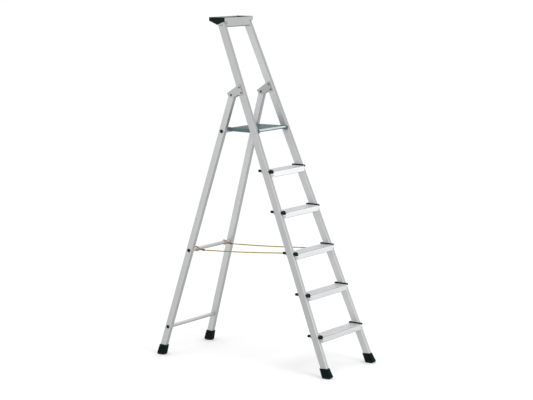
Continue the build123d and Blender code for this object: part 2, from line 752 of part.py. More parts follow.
PLUG_R = 10.8
PLUG_HEAD = 2.2
PLUG_SHANK = 12.0
with BuildPart() as tube_plugs:
    for level in CROSSBAR_Z.values():
        for side in SIDES.values():
            end = crossbar_half(level)
            with BuildSketch(across(side * (end - PLUG_SHANK))):
                with Locations((leg_y(level), level)):
                    Circle(CROSSBAR_R - CROSSBAR_WALL - 0.05)
            extrude(amount=side * (PLUG_SHANK + 0.5))
            with BuildSketch(across(side * (end + 0.1))):
                with Locations((leg_y(level), level)):
                    Circle(PLUG_R)
            extrude(amount=side * PLUG_HEAD, taper=20)
save(tube_plugs, "tube_plugs")

# ---- Platform -----------------------------------------------------------------------------------
TUBE_Y = leg_y(CROSSBAR_Z["platform_tube"])
TUBE_Z = CROSSBAR_Z["platform_tube"]
HOOK_GAP = 0.5
HOOK_WALL = 5.0
HOOK_FRONT_DROP = 2.0  # how far the hook comes down in front of the tube's centre
HOOK_REAR_DROP = -3.0
ARM_TOP_Z = PLATFORM_TOP_Z + 2.0
ARM_LOW_Z = 1392.0
ARM_SLANT = degrees(atan((PLATFORM_FRONT_HALF - PLATFORM_REAR_HALF) / (TUBE_Y - PLATFORM_PIVOT_Y)))
DECK_SKIN = 2.0
MAT_THICKNESS = 2.4
DECK_SIDE_GAP = 0.3


def arm_inner(y):
    """|x| of a side arm's inner face."""
    slant = tan(radians(ARM_SLANT))
    return PLATFORM_FRONT_HALF - (y - PLATFORM_PIVOT_Y) * slant - ARM_THICKNESS / cos(radians(ARM_SLANT))


def deck_outline(front, rear, inset):
    """Plan corners of the deck or its mat, following the slanted arms."""
    return [
        (-arm_inner(front) + inset, front),
        (arm_inner(front) - inset, front),
        (arm_inner(rear) - inset, rear),
        (-arm_inner(rear) + inset, rear),
    ]


for side_name, side in SIDES.items():
    arm_plane = Plane(
        origin=(side * PLATFORM_FRONT_HALF, PLATFORM_PIVOT_Y, PLATFORM_PIVOT_Z),
        x_dir=(-side * sin(radians(ARM_SLANT)), cos(radians(ARM_SLANT)), 0),
        z_dir=(side * cos(radians(ARM_SLANT)), sin(radians(ARM_SLANT)), 0),
    )
    reach = (TUBE_Y - PLATFORM_PIVOT_Y) / cos(radians(ARM_SLANT))
    tube_drop = side * (TUBE_Z - PLATFORM_PIVOT_Z)
    with BuildPart() as arm:
        with BuildSketch(arm_plane):
            Circle(ARM_BOSS_R)
            with BuildLine():
                Polyline(
                    (0, side * (ARM_TOP_Z - PLATFORM_PIVOT_Z)),
                    (reach + CROSSBAR_R - 2, side * (ARM_TOP_Z - PLATFORM_PIVOT_Z)),
                    (reach + CROSSBAR_R + HOOK_WALL, side * (ARM_TOP_Z - PLATFORM_PIVOT_Z - 7)),
                    (reach + CROSSBAR_R + HOOK_WALL, tube_drop + side * HOOK_REAR_DROP),
                    (reach, tube_drop + side * HOOK_REAR_DROP),
                    (reach, tube_drop + side * HOOK_FRONT_DROP),
                    (reach - CROSSBAR_R - HOOK_WALL - 1, tube_drop + side * HOOK_FRONT_DROP),
                    (reach - CROSSBAR_R - 16, side * (ARM_LOW_Z - PLATFORM_PIVOT_Z)),
                    (0, side * (-ARM_BOSS_R + 5)),
                    close=True,
                )
            make_face()
        extrude(amount=-ARM_THICKNESS)
        # A wider shoe at the rear end grips the tube
        with BuildSketch(arm_plane):
            with BuildLine():
                Polyline(
                    (reach - CROSSBAR_R - 14, side * (PLATFORM_TOP_Z - 4.6 - PLATFORM_PIVOT_Z)),
                    (reach - 20, side * (ARM_TOP_Z - PLATFORM_PIVOT_Z)),
                    (reach + CROSSBAR_R - 2, side * (ARM_TOP_Z - PLATFORM_PIVOT_Z)),
                    (reach + CROSSBAR_R + HOOK_WALL, side * (ARM_TOP_Z - PLATFORM_PIVOT_Z - 7)),
                    (reach + CROSSBAR_R + HOOK_WALL, tube_drop + side * HOOK_REAR_DROP),
                    (reach, tube_drop + side * HOOK_REAR_DROP),
                    (reach, tube_drop + side * HOOK_FRONT_DROP),
                    (reach - CROSSBAR_R - HOOK_WALL - 1, tube_drop + side * HOOK_FRONT_DROP),
                    close=True,
                )
            make_face()
        extrude(amount=-(ARM_THICKNESS + 18))
        # The deck fills the space in front of that shoe
        with BuildSketch(Plane.XY.offset(ARM_LOW_Z - 20)):
            with BuildLine():
                Polyline(*deck_outline(PLATFORM_FRONT_Y, PLATFORM_REAR_Y + DECK_SIDE_GAP, 0), close=True)
            make_face()
        extrude(amount=60, mode=Mode.SUBTRACT)
        with BuildSketch(across(0)):
            with Locations((TUBE_Y, TUBE_Z)):
                Circle(CROSSBAR_R + HOOK_GAP)
        extrude(amount=side * 300, mode=Mode.SUBTRACT)
        with BuildSketch(across(0)):
            with Locations((PLATFORM_PIVOT_Y, PLATFORM_PIVOT_Z)):
                Circle(PLATFORM_PIN_R + PIN_CLEARANCE)
        extrude(amount=side * 300, mode=Mode.SUBTRACT)
    save(arm, f"platform_arm_{side_name}")

NOSE_DEPTH = 9.0
DECK_FRONT_Y = PLATFORM_FRONT_Y + NOSE_DEPTH + 0.2
NOSE_HEIGHT = 10.5
DECK_TOP_Z = PLATFORM_TOP_Z - MAT_THICKNESS
DECK_FLANGE = 14.0


with BuildPart() as platform_deck:
    with BuildSketch(Plane.XY.offset(DECK_TOP_Z - DECK_FLANGE)):
        with BuildLine():
            Polyline(*deck_outline(DECK_FRONT_Y, PLATFORM_REAR_Y, DECK_SIDE_GAP), close=True)
        make_face()
    extrude(amount=DECK_FLANGE)
    with BuildSketch(Plane.XY.offset(DECK_TOP_Z - DECK_FLANGE)):
        with BuildLine():
            Polyline(
                *deck_outline(
                    PLATFORM_FRONT_Y + NOSE_DEPTH + DECK_SKIN,
                    PLATFORM_REAR_Y - DECK_SKIN,
                    DECK_SIDE_GAP + DECK_SKIN,
                ),
                close=True,
            )
        make_face()
    extrude(amount=DECK_FLANGE - DECK_SKIN, mode=Mode.SUBTRACT)
save(platform_deck, "platform_deck")

RIB_PITCH = 8.0
RIB_GROOVE = 2.4
RIB_DEPTH = 1.2
with BuildPart() as platform_mat:
    with BuildSketch(Plane.XY.offset(DECK_TOP_Z + 0.05)):
        with BuildLine():
            Polyline(*deck_outline(DECK_FRONT_Y, PLATFORM_REAR_Y, DECK_SIDE_GAP), close=True)
        make_face()
    extrude(amount=MAT_THICKNESS - 0.05)
    rib_count = int((PLATFORM_REAR_Y - PLATFORM_FRONT_Y - NOSE_DEPTH - 6) // RIB_PITCH)
    with BuildSketch(Plane.XY.offset(PLATFORM_TOP_Z)):
        with Locations((0, (PLATFORM_REAR_Y + PLATFORM_FRONT_Y + NOSE_DEPTH) / 2)):
            with GridLocations(1, RIB_PITCH, 1, rib_count):
                Rectangle(2 * arm_inner(PLATFORM_REAR_Y) - 12, RIB_GROOVE)
    extrude(amount=-RIB_DEPTH, mode=Mode.SUBTRACT)
save(platform_mat, "platform_mat")

with BuildPart() as platform_nose:
    with BuildSketch(across(-arm_inner(PLATFORM_FRONT_Y + NOSE_DEPTH) + DECK_SIDE_GAP)):
        with Locations((PLATFORM_FRONT_Y + NOSE_DEPTH / 2, PLATFORM_TOP_Z + 0.6 - NOSE_HEIGHT / 2)):
            RectangleRounded(NOSE_DEPTH, NOSE_HEIGHT, 3.0)
    extrude(amount=2 * (arm_inner(PLATFORM_FRONT_Y + NOSE_DEPTH) - DECK_SIDE_GAP))
    with BuildSketch(across(-200)):
        with Locations((PLATFORM_FRONT_Y + NOSE_DEPTH / 2 + 0.5, PLATFORM_TOP_Z + 0.6 - NOSE_HEIGHT / 2)):
            RectangleRounded(NOSE_DEPTH - 4.0, NOSE_HEIGHT - 4.0, 1.5)
    extrude(amount=400, mode=Mode.SUBTRACT)
save(platform_nose, "platform_nose")

DECK_RIVET_R = 3.0
with BuildPart() as platform_rivets:
    for side in SIDES.values():
        for y in (20.0, 90.0, 160.0):
            x = arm_inner(y) + ARM_THICKNESS / cos(radians(ARM_SLANT))
            outward = Plane(
                origin=(side * (x + 0.05), y, DECK_TOP_Z - 8),
                x_dir=(0, 0, 1),
                z_dir=(side * cos(radians(ARM_SLANT)), sin(radians(ARM_SLANT)), 0),
            )
            with BuildSketch(outward):
                Circle(DECK_RIVET_R)
            extrude(amount=0.8, taper=20)
save(platform_rivets, "platform_rivets")

# Pins that carry the platform's front, one through each stile
PLATFORM_PIN_HEAD_R = 6.5
for side_name, side in SIDES.items():
    inside = PLATFORM_FRONT_HALF - ARM_THICKNESS + 0.4
    outside = outer_face(PLATFORM_PIVOT_Z) + 0.6
    with BuildPart() as platform_pin:
        with BuildSketch(across(side * inside)):
            with Locations((PLATFORM_PIVOT_Y, PLATFORM_PIVOT_Z)):
                Circle(PLATFORM_PIN_R)
        extrude(amount=side * (outside - inside))
        with BuildSketch(across(side * outside)):
            with Locations((PLATFORM_PIVOT_Y, PLATFORM_PIVOT_Z)):
                Circle(PLATFORM_PIN_HEAD_R)
        extrude(amount=side * 1.5, taper=20)
    save(platform_pin, f"platform_pin_{side_name}")

# ---- Safety ropes -------------------------------------------------------------------------------
ROPE_TREAD_Z = TREAD_RISE * ROPE_TREAD
ANCHOR_Y = stile_y(ROPE_TREAD_Z) + TREAD_REAR + TREAD_SKIN / 2
ANCHOR_Z = ROPE_TREAD_Z - ROPE_DROP
GROMMET_DOME_R = 8.4
GROMMET_BORE_R = ROPE_R + 0.15

with BuildPart() as rope_grommets:
    for side in SIDES.values():
        dome_centre = (side * ROPE_FRONT_X, ANCHOR_Y + 0.1, ANCHOR_Z)
        lie = Plane(origin=dome_centre, x_dir=(1, 0, 0), z_dir=(0, -1, 0))
        with BuildSketch(lie):
            Circle(GROMMET_NECK_R - 0.1)
        extrude(amount=TREAD_SKIN + 0.4)
        with BuildSketch(lie.offset(TREAD_SKIN + 0.3)):
            Circle(GROMMET_DOME_R)
        extrude(amount=2.0)
        with BuildSketch(Plane(origin=dome_centre, x_dir=(1, 0, 0), z_dir=(0, 0, 1))):
            with BuildLine():
                Line((0, 0), (GROMMET_DOME_R, 0))
                CenterArc((0, 0), GROMMET_DOME_R, 0, 90)
                Line((0, GROMMET_DOME_R), (0, 0))
            make_face()
        revolve(axis=Axis(dome_centre, (0, 1, 0)))
        with BuildSketch(lie.offset(-20)):
            Circle(GROMMET_BORE_R)
        extrude(amount=30, mode=Mode.SUBTRACT)
save(rope_grommets, "rope_grommets")

UPPER_Y = leg_y(CROSSBAR_Z["crossbar_upper"])
UPPER_Z = CROSSBAR_Z["crossbar_upper"]
ROPE_ROUTE = [  # (y, z) of the right and left ropes from the tread to the eye
    (ANCHOR_Y + 9.0, ANCHOR_Z - 0.7),
    (-49.0, 673.5),
    (71.0, 666.5),
    (161.0, 661.25),
    (349.0, 654.5),
]
ROPE_SPLIT = 2  # the route's point where the front and rear halves meet


def rope_x(y):
    """|x| of the ropes, which open out a little towards the rear legs."""
    share = (y - ANCHOR_Y) / (UPPER_Y - ANCHOR_Y)
    return ROPE_FRONT_X + share * (ROPE_REAR_X - ROPE_FRONT_X)


def rope_half(name, points):
    """One taut half of a rope: two straight runs joined by a tangent arc."""
    before, corner, after = [Vector(*p) for p in points]
    turn = (corner - before).get_angle(after - corner)
    shorter = min((corner - before).length, (after - corner).length)
    radius = 0.45 * shorter / tan(radians(turn / 2))
    with BuildPart() as rope:
        with BuildLine() as route:
            FilletPolyline(before, corner, after, radius=[radius])
        with BuildSketch(Plane(origin=before, z_dir=corner - before)):
            Circle(ROPE_R)
        sweep(path=route.wires()[0])
    length = route.wires()[0].length
    print(f"{name}: bend radius {radius:.0f} mm, length {length:.1f} mm, volume {rope.part.volume:.0f} mm3")
    save(rope, name)


EYE_NECK_R = 4.3
EYE_GAP = 0.5
EYE_RING_R = CROSSBAR_R + 0.45 + ROPE_R

for side_name, side in SIDES.items():
    route_points = [(side * rope_x(y), y, z) for y, z in ROPE_ROUTE]
    rope_half(f"safety_rope_{side_name}_front", route_points[: ROPE_SPLIT + 1])
    rope_half(f"safety_rope_{side_name}_rear", route_points[ROPE_SPLIT:])
    # The spliced eye goes round the upper crossbar and its doubled neck takes the rope's end
    end = Vector(*route_points[-1])
    centre = Vector(end.X, UPPER_Y, UPPER_Z)
    towards = (centre - end).normalized()
    neck_length = (centre - end).length - EYE_RING_R
    with BuildPart() as eye:
        with Locations(Plane(origin=centre, z_dir=(1, 0, 0))):
            Torus(EYE_RING_R, ROPE_R)
        with BuildSketch(Plane(origin=end + towards * EYE_GAP, z_dir=towards)):
            Circle(EYE_NECK_R)
        extrude(amount=neck_length)
    save(eye, f"rope_eye_{side_name}")

rope_length = sum(
    hypot(b[0] - a[0], b[1] - a[1], rope_x(b[0]) - rope_x(a[0])) for a, b in zip(ROPE_ROUTE, ROPE_ROUTE[1:])
)
print(f"rope run from grommet to eye: {rope_length:.1f} mm")
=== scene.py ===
"""Looks for the platform step ladder: materials, finer pieces, ropes, floor, light, camera."""
import math

import bpy
from mathutils import Matrix, Vector


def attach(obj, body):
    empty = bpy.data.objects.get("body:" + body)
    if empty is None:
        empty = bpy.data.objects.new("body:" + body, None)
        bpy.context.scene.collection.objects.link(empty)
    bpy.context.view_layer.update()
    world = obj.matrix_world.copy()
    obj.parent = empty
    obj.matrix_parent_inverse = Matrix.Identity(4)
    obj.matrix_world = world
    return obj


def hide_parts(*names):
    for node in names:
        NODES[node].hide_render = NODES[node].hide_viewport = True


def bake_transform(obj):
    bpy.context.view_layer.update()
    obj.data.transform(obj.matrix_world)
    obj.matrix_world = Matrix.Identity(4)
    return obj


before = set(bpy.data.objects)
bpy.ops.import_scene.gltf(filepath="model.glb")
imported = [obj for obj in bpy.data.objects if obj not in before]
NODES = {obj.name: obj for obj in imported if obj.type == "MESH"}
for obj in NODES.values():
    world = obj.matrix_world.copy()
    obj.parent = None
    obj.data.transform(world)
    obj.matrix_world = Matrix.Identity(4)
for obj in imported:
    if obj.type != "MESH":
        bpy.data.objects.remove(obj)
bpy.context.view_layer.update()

# ---- Places that repeat the CAD source's dimensions, in metres ---------------------------------
# The run of the left stile and the left leg for each unit of height; the right ones mirror them
STILE_DIR = (0.0555, 0.4045, 1.0)
LEG_DIR = (0.0573, -0.2874, 1.0)
ROPE_ROUTE = [  # the right rope from the tread to its eye; the left one mirrors it
    (0.11842, -0.26183, 0.68930),
    (0.12847, -0.04900, 0.67350),
    (0.13413, 0.07100, 0.66650),
    (0.13838, 0.16100, 0.66125),
    (0.14725, 0.34900, 0.65450),
]
SIDES = {"left": -1, "right": 1}


# ---- Materials ---------------------------------------------------------------------------------
COOL = (1.0, 1.012, 1.022)  # the slightly blue grey of the aluminium
WHITE = (1.0, 1.0, 1.0)
SMUDGE = (0.95, 0.95, 0.95)  # what the darkest marks leave of the aluminium's tone
PAINTED_REFLECTION_RISE = (0.35, 1.55)  # the heights between which the low tones give way to the high ones; painted reflection, of the bright floor low down and of the darker room above
DUST_TOP = 0.014  # how high the floor dust reaches on the shoes
MIX_INPUTS = (0, 6, 7)  # the colour mix node's factor, first colour and second colour
MIX_RESULT = 2


class Look:
    """A node material under construction."""

    def __init__(self, name, **sockets):
        self.material = bpy.data.materials.new(name)
        self.material.use_nodes = True
        self.tree = self.material.node_tree
        self.shader = self.tree.nodes["Principled BSDF"]
        for key, value in sockets.items():
            self.shader.inputs[key.replace("_", " ")].default_value = value
        coordinates = self.add("ShaderNodeTexCoord")
        self.place = coordinates.outputs["Object"]
        self.normal = coordinates.outputs["Normal"]

    def add(self, kind, **settings):
        node = self.tree.nodes.new(kind)
        for key, value in settings.items():
            setattr(node, key, value)
        return node

    def link(self, source, target):
        self.tree.links.new(source, target)

    def vector(self, operation, first, second):
        node = self.add("ShaderNodeVectorMath", operation=operation)
        for socket, value in zip(node.inputs, (first, second)):
            if isinstance(value, bpy.types.NodeSocket):
                self.link(value, socket)
            else:
                socket.default_value = value
        return node

    def along(self, direction, squeeze):
        """The place, shortened along a direction, so that a pattern is drawn out that way."""
        axis = Vector(direction).normalized()
        dot = self.vector("DOT_PRODUCT", self.place, axis).outputs["Value"]
        scaled = self.add("ShaderNodeVectorMath", operation="SCALE")
        scaled.inputs[0].default_value = axis * (1 - squeeze)
        self.link(dot, scaled.inputs["Scale"])
        return self.vector("SUBTRACT", self.place, scaled.outputs["Vector"]).outputs["Vector"]

    def noise(self, place, scale, detail, rough):
        node = self.add("ShaderNodeTexNoise")
        self.link(place, node.inputs["Vector"])
        node.inputs["Scale"].default_value = scale
        node.inputs["Detail"].default_value = detail
        node.inputs["Roughness"].default_value = rough
        return node.outputs["Fac"]

    def ramp(self, value, low, high, start=0.3, end=0.7):
        """A value or colour that runs from low to high as the input goes from start to end."""
        if isinstance(low, tuple):
            node = self.add("ShaderNodeValToRGB")
            stops = node.color_ramp.elements
            stops[0].position, stops[1].position = start, end
            stops[0].color, stops[1].color = (*low, 1), (*high, 1)
            self.link(value, node.inputs["Fac"])
            return node.outputs["Color"]
        node = self.add("ShaderNodeMapRange")
        keys = ("From Min", "From Max", "To Min", "To Max")
        for key, number in zip(keys, (start, end, low, high)):
            node.inputs[key].default_value = number
        self.link(value, node.inputs["Value"])
        return node.outputs["Result"]

    def facing(self, axis, outward, stops):
        """A painted grey of light and shade that follows how a face turns: 0 is inwards, 0.5 across
        the axis, 1 outwards.
        """
        split = self.add("ShaderNodeSeparateXYZ")
        self.link(self.normal, split.inputs[0])
        turn = self.ramp(split.outputs[axis], 0.0, 1.0, -outward, outward)
        node = self.add("ShaderNodeValToRGB")
        elements = node.color_ramp.elements
        while len(elements) < len(stops):
            elements.new(0.5)
        for element, (position, grey) in zip(elements, stops):
            element.position = position
            element.color = (grey * COOL[0], grey * COOL[1], grey * COOL[2], 1)
        self.link(turn, node.inputs["Fac"])
        return node.outputs["Color"]

    def by_height(self, low, high, start, end):
        """Mixes two colours by the height above the floor at rest; the aluminium uses it for
        painted reflection that changes with height.
        """
        split = self.add("ShaderNodeSeparateXYZ")
        self.link(self.place, split.inputs[0])
        return self.mix(self.ramp(split.outputs["Z"], 0.0, 1.0, start, end), low, high)

    def mix(self, amount, first, second, blend="MIX"):
        node = self.add("ShaderNodeMix", data_type="RGBA", blend_type=blend)
        for index, value in zip(MIX_INPUTS, (amount, first, second)):
            socket = node.inputs[index]
            if isinstance(value, bpy.types.NodeSocket):
                self.link(value, socket)
            else:
                socket.default_value = value if isinstance(value, float) else (*value, 1)
        return node.outputs[MIX_RESULT]

    def color(self, source):
        self.link(source, self.shader.inputs["Base Color"])

    def roughness(self, source):
        self.link(source, self.shader.inputs["Roughness"])

    def bump(self, height, distance, strength):
        node = self.add("ShaderNodeBump")
        node.inputs["Strength"].default_value = strength
        node.inputs["Distance"].default_value = distance
        self.link(height, node.inputs["Height"])
        self.link(node.outputs["Normal"], self.shader.inputs["Normal"])


def aluminium(name, direction, axis, outward, low, high, rough=0.42):
    """Extruded aluminium with faint drawn lines along its length and cloudy handling marks, over
    painted light and shade that follow each face's direction and its height.
    """
    look = Look(name, Metallic=0.7)
    lines = look.noise(look.along(direction, 0.012), 900.0, 4.0, 0.6)
    cloud = look.noise(look.along(direction, 0.25), 14.0, 4.0, 0.6)
    # Painted light and shade: greys by the way each face turns, for low and high places, mixed by
    # height as painted reflection
    painted_light_low = look.facing(axis, outward, low)
    painted_light_high = look.facing(axis, outward, high)
    base = look.by_height(painted_light_low, painted_light_high, *PAINTED_REFLECTION_RISE)
    handled = look.mix(1.0, base, look.ramp(cloud, SMUDGE, WHITE, 0.35, 0.65), "MULTIPLY")
    streak = look.ramp(lines, SMUDGE, WHITE, 0.35, 0.7)
    look.color(look.mix(1.0, handled, streak, "MULTIPLY"))
    look.roughness(look.ramp(cloud, rough + 0.05, rough - 0.05))
    look.bump(lines, 0.00002, 0.5)
    return look.material


def moulded(name, dark, light, rough=0.5, grain=900.0, depth=0.00008, specular=0.2):
    """Moulded plastic with a fine spark-eroded grain and slightly paler, drier patches."""
    look = Look(name, Specular_IOR_Level=specular)
    patch = look.noise(look.place, 35.0, 4.0, 0.6)
    grit = look.noise(look.place, grain, 2.0, 0.5)
    look.color(look.ramp(patch, dark, light, 0.35, 0.75))
    look.roughness(look.ramp(patch, rough - 0.06, rough + 0.08))
    look.bump(grit, depth, 0.6)
    return look.material


def rubber(name):
    """Dull black rubber with a fine grain and floor dust on its lowest part."""
    look = Look(name, Specular_IOR_Level=0.06)
    patch = look.noise(look.place, 60.0, 5.0, 0.65)
    grit = look.noise(look.place, 1400.0, 2.0, 0.6)
    base = look.ramp(patch, (0.002, 0.006, 0.006), (0.006, 0.012, 0.011), 0.35, 0.75)
    split = look.add("ShaderNodeSeparateXYZ")
    look.link(look.place, split.inputs[0])
    low = look.ramp(split.outputs["Z"], 0.55, 0.0, 0.0, DUST_TOP)
    dusty = look.add("ShaderNodeMath", operation="MULTIPLY")
    look.link(low, dusty.inputs[0])
    look.link(patch, dusty.inputs[1])
    look.color(look.mix(dusty.outputs[0], base, (0.05, 0.05, 0.045)))
    look.roughness(look.ramp(patch, 0.62, 0.82))
    look.bump(grit, 0.00012, 0.6)
    return look.material


def twine(name, dark, light):
    """Stained fibre with a fine nap along the run of the ropes."""
    look = Look(name, Roughness=0.85, Specular_IOR_Level=0.05)
    fibre = look.noise(look.along((0.05, 1.0, -0.05), 0.3), 2400.0, 3.0, 0.6)
    stain = look.noise(look.place, 45.0, 3.0, 0.6)
    base = look.ramp(stain, dark, light, 0.3, 0.7)
    look.color(look.mix(1.0, base, look.ramp(fibre, (0.72, 0.70, 0.66), WHITE), "MULTIPLY"))
    look.bump(fibre, 0.0002, 0.7)
    return look.material


def mirrored(direction, side):
    """The direction of a member on that side: both sides lean inwards."""
    return (-side * direction[0], direction[1], direction[2])


def tones(inward, corner, across, outward):
    """Stops for Look.facing: painted light and shade, how light a face is painted by the way it
    turns.
    """
    return (
        (0.0, inward),
        (0.03, inward),
        (0.14, corner),
        (0.28, corner),
        (0.40, across),
        (0.60, across),
        (0.72, corner),
        (0.86, corner),
        (0.97, outward),
    )


# Painted light and shade, by the way each face turns: each pair is for low places and for high
# places. The darker or lighter corners, the lighter inward faces of the stiles and legs, the darker
# undersides and lighter tops of the crossbars and the bright tread fronts high up are painted, not
# lit.
STILE_TONES = (tones(0.53, 0.66, 0.52, 0.43), tones(0.60, 0.36, 0.40, 0.51))
LEG_TONES = (tones(0.54, 0.36, 0.37, 0.51), tones(0.60, 0.33, 0.36, 0.57))
TREAD_TONES = (tones(0.60, 0.20, 0.65, 0.75), tones(0.60, 0.20, 1.00, 0.70))
TRAY_TONES = (tones(0.40, 0.22, 0.47, 0.50),) * 2
BAR_TONES = (((0.0, 0.26), (0.25, 0.30), (0.5, 0.44), (0.75, 0.60), (1.0, 0.70)),) * 2
BRACKET_TONES = (tones(0.43, 0.36, 0.32, 0.47),) * 2
# Near-black greys for the hem and the tray's edge beads: painted shade
HEM_SHADE_TONES = (tones(0.05, 0.06, 0.08, 0.10),) * 2
PLAIN_TONES = (tones(0.50, 0.46, 0.50, 0.52), tones(0.50, 0.46, 0.50, 0.54))

MATERIALS = {
    "cross": aluminium("aluminium_across", (1, 0, 0), "Z", 1, *BAR_TONES),
    "tread": aluminium("aluminium_tread", (1, 0, 0), "Z", 1, *TREAD_TONES, 0.45),
    "tray": aluminium("aluminium_tray", (1, 0, 0), "Z", 1, *TRAY_TONES, 0.45),
    "plain": aluminium("aluminium_plain", (1, 0, 0), "X", 1, *PLAIN_TONES),
    "hem": aluminium("painted_shade_hem", (1, 0, 0), "Z", 1, *HEM_SHADE_TONES),
    "black": moulded("black_plastic", (0.002, 0.008, 0.008), (0.006, 0.014, 0.013), specular=0.1),
    "slate": moulded("slate_plastic", (0.080, 0.125, 0.135), (0.115, 0.168, 0.180), 0.42),
    "white": moulded("white_plastic", (0.46, 0.53, 0.53), (0.56, 0.62, 0.62), 0.45),
    "steel": moulded("dark_rivet", (0.035, 0.037, 0.04), (0.06, 0.062, 0.065), 0.35, 500.0, 3e-5),
    "rubber": rubber("shoe_rubber"),
    "rope": twine("rope_ochre", (0.29, 0.20, 0.010), (0.47, 0.34, 0.022)),
    "rope_eye": twine("rope_eye_ochre", (0.26, 0.125, 0.018), (0.42, 0.23, 0.035)),
    "whipping": twine("rope_whipping", (0.10, 0.055, 0.02), (0.18, 0.10, 0.03)),
}
for side_name, side in SIDES.items():
    for kind, direction, tone_pair in (
        ("stile", mirrored(STILE_DIR, side), STILE_TONES),
        ("leg", mirrored(LEG_DIR, side), LEG_TONES),
        ("bracket", (0, 0.8, -0.5), BRACKET_TONES),
    ):
        look_name = f"{kind}_{side_name}"
        MATERIALS[look_name] = aluminium(f"aluminium_{look_name}", direction, "X", side, *tone_pair)

NODE_LOOKS = {
    "stile_left": "stile_left",
    "stile_right": "stile_right",
    "rear_leg_left": "leg_left",
    "rear_leg_right": "leg_right",
    "crossbar": "cross",
    "platform_tube": "cross",
    "tread_cap": "black",
    "tread_rivets": "steel",
    "tread_": "tread",
    "tray_cleats": "tray",
    "tool_tray": "tray",
    "tray_cap": "black",
    "tray_rivets": "steel",
    "hinge_bracket_left": "bracket_left",
    "hinge_bracket_right": "bracket_right",
    "hinge_pads": "black",
    "hinge_rivets": "steel",
    "hinge_pin": "steel",
    "platform_pin": "plain",
    "platform_rivets": "steel",
    "platform_arm": "slate",
    "platform_deck": "slate",
    "platform_mat": "slate",
    "platform_nose": "white",
    "leg_bushes": "black",
    "tube_plugs": "black",
    "front_foot": "rubber",
    "rear_foot": "rubber",
    "rope_grommets": "black",
    "rope_eye": "rope_eye",
    "safety_rope": "rope",
}


def look_of(node):
    """The look whose prefix fits the node's name, the longest first."""
    fitting = [prefix for prefix in NODE_LOOKS if node.startswith(prefix)]
    return MATERIALS[NODE_LOOKS[max(fitting, key=len)]]


for node, piece in NODES.items():
    piece.data.materials.clear()
    piece.data.materials.append(look_of(node))


# Softened edges: (node prefix, width in metres, segments)
SOFT_EDGES = (
    ("front_foot", 0.0022, 3),
    ("rear_foot", 0.0022, 3),
    ("tread_cap", 0.0011, 2),
    ("tray_cap", 0.0010, 2),
    ("hinge_bracket", 0.0005, 2),
    ("platform_arm", 0.0009, 2),
    ("platform_nose", 0.0012, 3),
    ("tube_plugs", 0.0006, 2),
    ("tread_rivets", 0.0003, 2),
    ("hinge_rivets", 0.0003, 2),
)
SOFT_ANGLE = math.radians(28)
WELD_DISTANCE = 0.00001

for prefix, width, segments in SOFT_EDGES:
    for node, piece in NODES.items():
        if node.startswith(prefix):
            weld = piece.modifiers.new("joined", "WELD")
            weld.merge_threshold = WELD_DISTANCE
            bevel = piece.modifiers.new("softened", "BEVEL")
            bevel.width = width
            bevel.segments = segments
            bevel.limit_method = "ANGLE"
            bevel.angle_limit = SOFT_ANGLE
            bevel.harden_normals = True


# ---- Mesh helpers ------------------------------------------------------------------------------
def mesh_piece(name, vertices, faces, material, body):
    """A smooth-shaded object made of these faces, riding a body if one is given."""
    mesh = bpy.data.meshes.new(name)
    mesh.from_pydata(vertices, [], faces)
    mesh.materials.append(material)
    for face in mesh.polygons:
        face.use_smooth = True
    piece = bpy.data.objects.new(name, mesh)
    bpy.context.scene.collection.objects.link(piece)
    if body:
        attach(piece, body)
    return piece


def frames_along(points):
    """(point, side, up) at each point of a line, turning as little as it can."""
    tangents = []
    for index in range(len(points)):
        before, after = points[max(index - 1, 0)], points[min(index + 1, len(points) - 1)]
        tangents.append((after - before).normalized())
    normal = tangents[0].orthogonal().normalized()
    result = []
    for point, tangent in zip(points, tangents):
        normal = (normal - tangent * normal.dot(tangent)).normalized()
        result.append((point, normal, tangent.cross(normal)))
    return result


def strands(points, count, lay_radius, strand_radius, pitch, step, sides=8):
    """Vertices and faces of a laid rope: strands that wind round a line, one turn in each pitch."""
    lengths = [0.0]
    for before, after in zip(points, points[1:]):
        lengths.append(lengths[-1] + (after - before).length)
    samples, index = [], 0
    total = lengths[-1]
    number = max(2, int(total / step))
    for k in range(number + 1):
        want = total * k / number
        while index < len(lengths) - 2 and lengths[index + 1] < want:
            index += 1
        share = (want - lengths[index]) / (lengths[index + 1] - lengths[index])
        samples.append(points[index].lerp(points[index + 1], share))
    frames = frames_along(samples)
    vertices, faces = [], []
    for strand in range(count):
        centres = []
        for k, (point, across, up) in enumerate(frames):
            angle = 2 * math.pi * (strand / count + total * k / number / pitch)
            centres.append(point + (across * math.cos(angle) + up * math.sin(angle)) * lay_radius)
        first = len(vertices)
        for centre, across, up in frames_along(centres):
            for corner in range(sides):
                angle = 2 * math.pi * corner / sides
                out = across * math.cos(angle) + up * math.sin(angle)
                vertices.append(centre + out * strand_radius)
        for k in range(number):
            for corner in range(sides):
                a = first + k * sides + corner
                b = first + k * sides + (corner + 1) % sides
                faces.append((a, b, b + sides, a + sides))
        faces.append(tuple(first + corner for corner in reversed(range(sides))))
        faces.append(tuple(first + number * sides + corner for corner in range(sides)))
    return vertices, faces


def turned(profile, centre, axis, across, count=40):
    """Vertices and faces of a shape turned round an axis; the profile is (along, radius) pairs."""
    up = axis.cross(across)
    vertices, faces = [], []
    for along, radius in profile:
        for k in range(count):
            angle = 2 * math.pi * k / count
            out = across * math.cos(angle) + up * math.sin(angle)
            vertices.append(centre + axis * along + out * radius)
    for ring in range(len(profile) - 1):
        for k in range(count):
            a, b = ring * count + k, ring * count + (k + 1) % count
            faces.append((a, b, b + count, a + count))
    faces.append(tuple(reversed(range(count))))
    faces.append(tuple(range((len(profile) - 1) * count, len(profile) * count)))
    return vertices, faces


